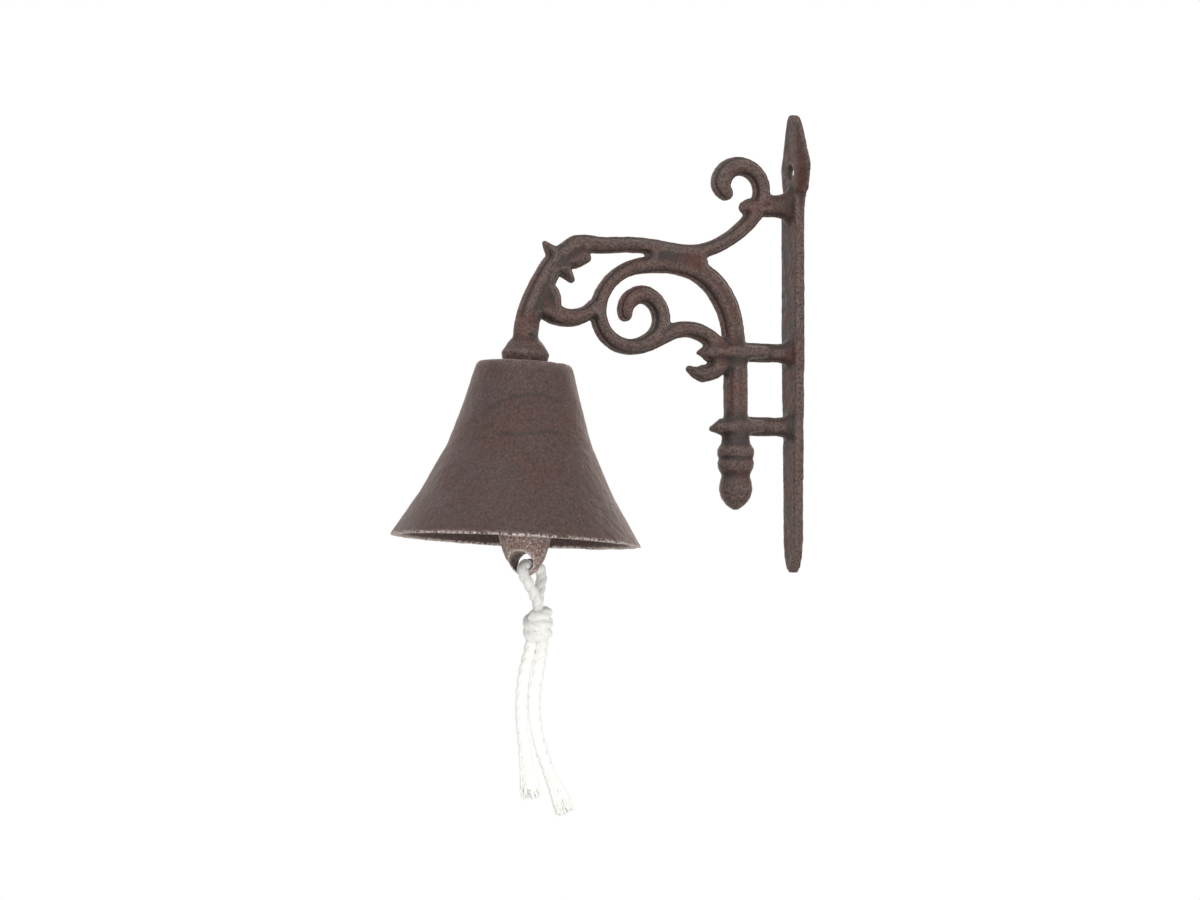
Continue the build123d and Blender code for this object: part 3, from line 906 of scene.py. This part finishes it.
def cast_fillets(thing):
    """Runs the cross bars into the plate and over the post, and the web into the arm and the arch."""
    points, _ = vertex_arrays(thing)
    x, depth, z = points[:, 0], abs(points[:, 1]), points[:, 2]
    proud = smoothstep(1.3 * MM, 2.4 * MM, depth)
    bars = (UPPER_BAR_Z, LOWER_BAR_Z, TIE_BAR_Z)
    at_bars = np.minimum(sum(between(bar - BAR_REACH, bar + BAR_REACH, BAR_SOFT, z) for bar in bars), 1)
    feet = between(*PLATE_FEET, x) * (depth < 6.6 * MM) * at_bars
    evened(thing, feet * 0.8, rounds=16)
    clasps = between(*POST_CLASPS, x) * at_bars * (z < 10 * MM)
    evened(thing, clasps * proud * 0.8, rounds=14)
    web = between(*WEB_ACROSS, x) * between(*WEB_UP, z)
    evened(thing, web * proud * 0.7, rounds=10)
    neck = between(*LEG_NECK, z) * (x < ARM_END_X)
    evened(thing, neck * proud * 0.7, rounds=14)


bracket = copy_of_node("wall_bracket", "cast_wall_bracket", bracket_iron)
remeshed(bracket, BRACKET_VOXEL, smoothing=5)
flange, crease = band_section(bracket)
leg_foot(bracket)
cast_fillets(bracket)
mark_wear_and_shade(bracket, rounds=10, edge_scale=0.12 * MM, flange=flange, crease=crease)
rough_cast(bracket, amount=0.06 * MM, size=7 * MM, seed=11)
finish_piece(bracket, "bracket", "wall_bracket")

# Bell, with its worn lip and the two faint marks on its near face, as points (across, z) in millimetres
MARKS = [
    [(-136.1, -31.4), (-130, -27.2), (-123.5, -24.6), (-116.4, -23.4), (-110, -24.0), (-104.5, -26.4)],
    [(-128.3, -40.3), (-123, -40.6), (-118, -40.9), (-113.5, -40.1), (-109.3, -39.3), (-105.2, -40.5)],
]


def line_distance(places, line):
    """Each place's distance from a broken line."""
    best = np.full(len(places), 1.0)
    for start, end in zip(line, line[1:]):
        way = (np.array(end) - np.array(start)) * MM
        off = places - np.array(start) * MM
        share = np.clip(off @ way / (way @ way), 0, 1)
        best = np.minimum(best, np.linalg.norm(off - share[:, None] * way, axis=1))
    return best


bell = copy_of_node("bell", "cast_bell", bell_iron)
remeshed(bell, BELL_VOXEL, smoothing=8)
mark_wear_and_shade(bell, rounds=12, edge_scale=0.3 * MM)
points, normals = vertex_arrays(bell)
height = (points - np.array(SEAT)) @ np.array(HANG_UP)
across = points[:, 0] * cos(VIEW_TURN) - points[:, 1] * sin(VIEW_TURN)
near_side = normals @ np.array((-sin(VIEW_TURN), -cos(VIEW_TURN), 0)) > 0.1
places = np.stack([across, points[:, 2]], 1)
marks = sum(1 - smoothstep(0.2 * MM, MARK_WIDTH, line_distance(places, line)) for line in MARKS)
keep_attribute(bell, "scratch", marks * near_side * MARK_STRENGTH)
keep_attribute(bell, "lip", smoothstep(-BELL_HEIGHT + 1.2 * MM, -BELL_HEIGHT + 0.4 * MM, height))
rough_cast(bell, amount=0.1 * MM, size=16 * MM, seed=21)
finish_piece(bell, "bracket", "bell")

# Clapper, and the zinc-plated hanging parts
clapper = copy_of_node("clapper", "cast_clapper", clapper_iron)
remeshed(clapper, CLAPPER_VOXEL, smoothing=8)
mark_wear_and_shade(clapper, rounds=10, edge_scale=0.1 * MM)
rough_cast(clapper, amount=0.12 * MM, size=3.5 * MM, seed=31)
finish_piece(clapper, "clapper", "clapper")

for node, body, voxel in (("eye_bolt", "bracket", BOLT_VOXEL), ("hanging_link", "link", LINK_VOXEL)):
    wire = copy_of_node(node, "zinc_" + node, zinc)
    remeshed(wire, voxel, smoothing=10)
    finish_piece(wire, body, node)
for node in ("bolt_washer", "bolt_nut"):
    piece = copy_of_node(node, "zinc_" + node, zinc)
    bevel = piece.modifiers.new("bevel", "BEVEL")
    bevel.width = 0.25 * MM
    bevel.segments = 2
    bevel.limit_method = "ANGLE"
    bevel.angle_limit = radians(30)
    made_plain(piece)
    finish_piece(piece, "bracket", node)

# Stage: a plain pale floor under soft studio light, before a white room
floor_corners = [(x * FLOOR_HALF, y * FLOOR_HALF, FLOOR_Z) for x, y in ((-1, -1), (1, -1), (1, 1), (-1, 1))]
floor = new_mesh_object("floor", floor_corners, [(0, 1, 2, 3)], pale_board())
world = bpy.data.worlds.new("studio")
bpy.context.scene.world = world
world.use_nodes = True
tree = world.node_tree
tree.nodes.clear()
camera_ray = add_node(tree, "ShaderNodeLightPath", "Is Camera Ray")
glossy_ray = camera_ray.node.outputs["Is Glossy Ray"]
clear_ray = camera_ray.node.outputs["Is Transmission Ray"]
seen = combined(tree, "MAXIMUM", camera_ray, glossy_ray)
seen = combined(tree, "MAXIMUM", seen, clear_ray)
room = add_node(tree, "ShaderNodeBackground", 0, {"Color": linear(WHITE), "Strength": ROOM_LIGHT})
white = add_node(tree, "ShaderNodeBackground", 0, {"Color": linear(WHITE), "Strength": 1.0})
shown = add_node(tree, "ShaderNodeMixShader", 0, {0: seen, 1: room, 2: white})
add_node(tree, "ShaderNodeOutputWorld", inputs={"Surface": shown})


def soft_light(name, place, size, watts):
    """A square soft box aimed at the bell."""
    data = bpy.data.lights.new(name, "AREA")
    data.size = size
    data.energy = watts
    lamp = bpy.data.objects.new(name, data)
    bpy.context.scene.collection.objects.link(lamp)
    lamp.location = place
    lamp.rotation_mode = "QUATERNION"
    lamp.rotation_quaternion = (LAMP_AIM - Vector(place)).to_track_quat("-Z", "Y")


soft_light("key", (-1.3, -1.3, 1.4), size=0.8, watts=21)
soft_light("fill", (1.1, -1.5, 0.3), size=1.0, watts=7)
soft_light("low_fill", (-0.5, -1.7, -0.35), size=1.0, watts=8)
